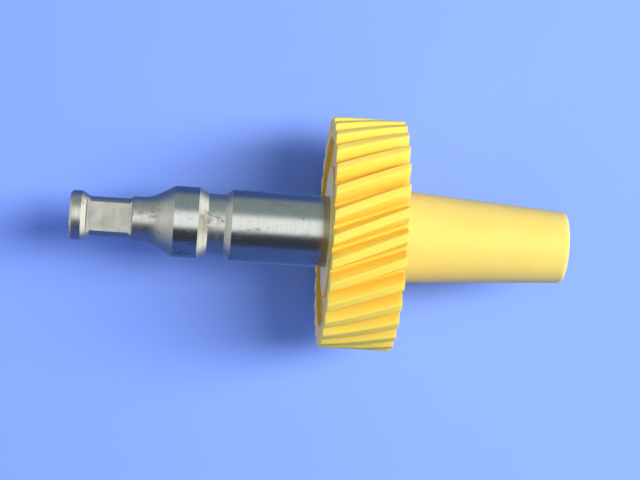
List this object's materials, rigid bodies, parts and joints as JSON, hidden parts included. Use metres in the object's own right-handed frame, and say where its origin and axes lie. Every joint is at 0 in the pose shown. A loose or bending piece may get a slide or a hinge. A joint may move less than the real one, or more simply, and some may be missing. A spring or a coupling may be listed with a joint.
{
  "type": "worm wheel and shaft",
  "caption": "Moulded left-hand helical worm wheel with a long tapered hub, fixed on a stepped steel output shaft with a two-flat drive end.",
  "frame": {"origin": "on the shaft's axis, in the middle of the toothed face", "axes": "+X along the axis from the drive end to the plastic hub, +Z square to the two drive flats, +Y completes the set"},
  "size_m": [0.1113, 0.0518, 0.0518],
  "materials": {
    "ground_steel": "ground and turned",
    "yellow_plastic": "moulded, semi-gloss"
  },
  "bodies": {
    "root": {"output_shaft": "ground_steel", "worm_wheel": "yellow_plastic"}
  },
  "joints": []
}
